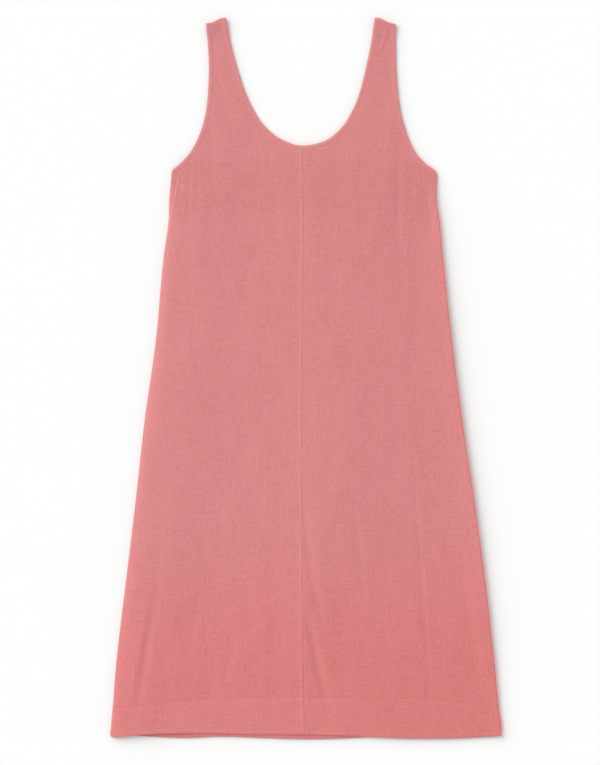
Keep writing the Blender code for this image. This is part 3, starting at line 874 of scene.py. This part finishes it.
# The bindings: narrow bias strips of the same cloth, a little lighter, folded round the raw
# edges of the neckline and the armholes and stitched along their inner side. Each is one soft,
# slightly raised band, lighter again near its folded outer edge from wear and a painted highlight.
STRIP_SECTION = Table(
    "depth height",
    (7.75, -0.45), (7.60, -0.14), (7.20, -0.02), (6.60, 0.02), (6.00, 0.07), (5.20, 0.13),
    (4.00, 0.17), (2.80, 0.15), (1.70, 0.06), (0.80, -0.12), (0.22, -0.38), (0.02, -0.66),
    (0.25, -0.92), (0.90, -1.02), (2.60, -1.05), (4.60, -1.05), (6.60, -1.0), (7.50, -0.85),
)
STITCH_DEPTH = 6.5 * MM


def strip_line(half, edge, inset, front):
    """A run up one side of a strap: the points that a strip's crown follows, and its way in."""
    stations = turn_stations(half, 150)
    if edge == "neck":
        at_x, at_y = half.neck.at(stations)
        way_x, way_y = half.neck_ways(stations)
    else:
        at_x, at_y = half.arm.at(stations)
        way_x, way_y = half.arm_ways(stations)
    depth = inset + STRIP_WIDTH / 2
    x = at_x + way_x * depth
    up = at_y + way_y * depth
    up = up + half.shoulder_rise(stations, x)
    inside = np.clip(half.side * (BODY.at(np.minimum(up, half.underarm), half.name) - x), 0, None)
    top = (1 - stations) * half.arm.length
    if front:
        height = front_form(half, x, up, inside, top, np.zeros_like(x))
    else:
        height = back_form(half, x, up, inside, top, np.zeros_like(x))
    return set_down(x, up, height), np.stack((way_x, way_y, np.zeros_like(x)), axis=-1)


def make_strip(name, runs, material):
    """A closed ring of binding through runs of points, with its line of stitches."""
    points = np.concatenate([run[0] for run in runs])
    ways = np.concatenate([run[1] for run in runs])
    step = np.linalg.norm(points - np.roll(points, 1, axis=0), axis=1)
    points, ways = points[step > 0.02 * MM], ways[step > 0.02 * MM]
    for _ in range(2):
        points = points / 2 + (np.roll(points, 1, axis=0) + np.roll(points, -1, axis=0)) / 4
        ways = ways / 2 + (np.roll(ways, 1, axis=0) + np.roll(ways, -1, axis=0)) / 4
    travel = np.roll(points, -1, axis=0) - np.roll(points, 1, axis=0)
    normal = np.cross(travel, ways)
    normal /= np.linalg.norm(normal, axis=1, keepdims=True)
    if normal[len(runs[0][0]) // 2, 2] < 0:
        normal = -normal
    reach = np.cumsum(np.linalg.norm(points - np.roll(points, 1, axis=0), axis=1))
    puff = 0.07 * MM * np.sin(reach / (1.9 * MM) + 2.2 * np.sin(reach / (11 * MM)))
    depth, height = STRIP_SECTION.column("depth"), STRIP_SECTION.column("height")
    raised = height + puff[:, None] * np.clip(height / (0.5 * MM), 0, 1)
    across = (depth - STRIP_WIDTH / 2)[None, :, None]
    ring = points[:, None] + ways[:, None] * across + normal[:, None] * raised[..., None]
    rows, columns = ring.shape[:2]
    girth = np.concatenate(([0], np.cumsum(np.hypot(np.diff(depth), np.diff(height)))))
    row, column = np.meshgrid(np.arange(rows), np.arange(columns), indexing="ij")
    row, column = row.ravel(), column.ravel()
    corners = [(row, column), (row, column + 1), (row + 1, column + 1), (row + 1, column)]
    faces = np.stack([r % rows * columns + c % columns for r, c in corners], axis=1)
    reach = np.append(reach, reach[-1] + np.linalg.norm(points[0] - points[-1]))
    girth = np.append(girth, girth[-1] + 0.4 * MM)
    places = np.stack([np.stack((reach[r], girth[c]), axis=-1) for r, c in corners], axis=1)
    centre = ring.mean(axis=1, keepdims=True)
    flat = ring.reshape(-1, 3)
    sides = np.cross(flat[faces[:, 1]] - flat[faces[:, 0]], flat[faces[:, 3]] - flat[faces[:, 0]])
    outwards = flat[faces[:, 0]] - centre[row, 0]
    if (sides * outwards).sum() < 0:
        faces, places = faces[:, ::-1], places[:, ::-1]
    mesh = bpy.data.meshes.new(name)
    mesh.from_pydata(flat.tolist(), [], faces.tolist())
    mesh.uv_layers.new(name="weave").uv.foreach_set("vector", places.ravel())
    # Near the folded outer edge: wear and a painted highlight.
    worn_and_highlit = 0.35 * np.exp(-((depth - 1.2 * MM) / (1.6 * MM)) ** 2) * (height > -0.7 * MM)
    wear_and_highlight = mesh.attributes.new("wear_and_highlight", "FLOAT", "POINT")
    wear_and_highlight.data.foreach_set("value", np.tile(worn_and_highlit, rows))
    mesh.materials.append(material)
    mesh.shade_smooth()
    mesh.validate()
    piece = bpy.data.objects.new(name, mesh)
    bpy.context.scene.collection.objects.link(piece)
    line = points + ways * (STITCH_DEPTH - STRIP_WIDTH / 2) + normal * 0.17 * MM
    return piece, line, normal


strip_cloth = cloth("salmon_binding", bias=True, lighter=0.4)


def reverse(run):
    """The same run, from the shoulder down."""
    return run[0][::-1], run[1][::-1]


neck_runs = [
    strip_line(halves[0], "neck", 0.0, True),
    reverse(strip_line(halves[0], "neck", BACK_INSET, False)),
    strip_line(halves[1], "neck", BACK_INSET, False),
    reverse(strip_line(halves[1], "neck", 0.0, True)),
]
neck_strip, neck_line, neck_normal = make_strip("neck_binding_strip", neck_runs, strip_cloth)
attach(neck_strip, "root")
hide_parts("neck_binding")
strips = [(neck_strip, neck_line, neck_normal)]
for half in halves:
    arm_runs = [
        strip_line(half, "arm", 0.0, True),
        reverse(strip_line(half, "arm", BACK_INSET, False)),
    ]
    strip = make_strip("armhole_strip_" + half.name, arm_runs, strip_cloth)
    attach(strip[0], "root")
    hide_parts("armhole_binding_" + half.name)
    strips.append(strip)


# The stitches: thread a shade deeper than the cloth, about three to the centimetre, that sinks a
# little into it; the deeper tone is partly painted shade along the stitch lines. One stitch is
# shaped and then copied along each line.
STITCH_PITCH = 3.0 * MM
STITCH_LENGTH = 2.3 * MM
THREAD = 0.34 * MM

bpy.ops.object.select_all(action="DESELECT")
bpy.ops.mesh.primitive_uv_sphere_add(segments=6, ring_count=5, radius=0.5)
stitch = bpy.context.object
bpy.ops.object.mode_set(mode="EDIT")
bpy.ops.mesh.select_all(action="SELECT")
bpy.ops.transform.resize(value=(THREAD, THREAD, STITCH_LENGTH))
bpy.ops.object.mode_set(mode="OBJECT")
stitch_points = np.array([v.co for v in stitch.data.vertices])
stitch_points[:, 0] -= 0.5 * THREAD * (2 * stitch_points[:, 2] / STITCH_LENGTH) ** 2
stitch_faces = [list(face.vertices) for face in stitch.data.polygons]
bpy.data.objects.remove(stitch)

thread = Finish("salmon_thread")
thread_place = thread.add("ShaderNodeTexCoord", {}, {}, output=3)
thread_tone = thread.noise(thread_place, (500, 500, 500), detail=1)
# The thread's deeper tone is partly painted shade along the stitched grooves.
thread_colour = thread.blend(thread_tone, (0.56, 0.165, 0.165, 1), (0.66, 0.225, 0.22, 1))
thread.feed(thread.shader, {
    "Base Color": thread_colour, "Roughness": 0.7, "Sheen Weight": 0.2})


def sew(name, lines):
    """Stitches along lines of points, each line with its normals and whether it is a ring."""
    points, faces = [], []
    for line, normal, closed in lines:
        if closed:
            line, normal = np.vstack((line, line[:1])), np.vstack((normal, normal[:1]))
        reach = np.concatenate(([0], np.cumsum(np.linalg.norm(np.diff(line, axis=0), axis=1))))
        count = int(reach[-1] / STITCH_PITCH)
        goals = (np.arange(count) + 0.5) * reach[-1] / count
        middle = np.stack([np.interp(goals, reach, line[:, i]) for i in range(3)], axis=1)
        ahead = np.stack([np.interp(goals + MM, reach, line[:, i]) for i in range(3)], axis=1)
        behind = np.stack([np.interp(goals - MM, reach, line[:, i]) for i in range(3)], axis=1)
        away = np.stack([np.interp(goals, reach, normal[:, i]) for i in range(3)], axis=1)
        way = ahead - behind
        way /= np.linalg.norm(way, axis=1, keepdims=True)
        aside = np.cross(way, away)
        aside /= np.linalg.norm(aside, axis=1, keepdims=True)
        away = np.cross(aside, way)
        for at, up_way, side_way, long_way in zip(middle, away, aside, way):
            start = len(points) * len(stitch_points)
            frame_axes = np.stack((up_way, side_way, long_way))
            points.append(at + stitch_points @ frame_axes)
            faces.extend([[start + i for i in face] for face in stitch_faces])
    mesh = bpy.data.meshes.new(name)
    mesh.from_pydata(np.concatenate(points).tolist(), [], faces)
    mesh.materials.append(thread.material)
    mesh.shade_smooth()
    piece = bpy.data.objects.new(name, mesh)
    bpy.context.scene.collection.objects.link(piece)
    bpy.ops.object.select_all(action="DESELECT")
    piece.select_set(True)
    bpy.context.view_layer.objects.active = piece
    bpy.ops.object.mode_set(mode="EDIT")
    bpy.ops.mesh.select_all(action="SELECT")
    bpy.ops.mesh.normals_make_consistent(inside=False)
    bpy.ops.object.mode_set(mode="OBJECT")
    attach(piece, "root")
    return piece


front_stitches = [
    sew("hem_stitches_front_" + half.name, [(line + normal * 0.06 * MM, normal, False)])
    for half, (_, line, normal) in zip(halves, fronts)
]
back_stitches = sew("hem_stitches_back", [
    (line - normal * 0.02 * MM, normal, False) for line, normal in back_lines])
strip_stitches = [
    sew(name, [(line, normal, True)])
    for name, (_, line, normal) in zip(
        ("neck_stitches", "armhole_stitches_left", "armhole_stitches_right"), strips)
]
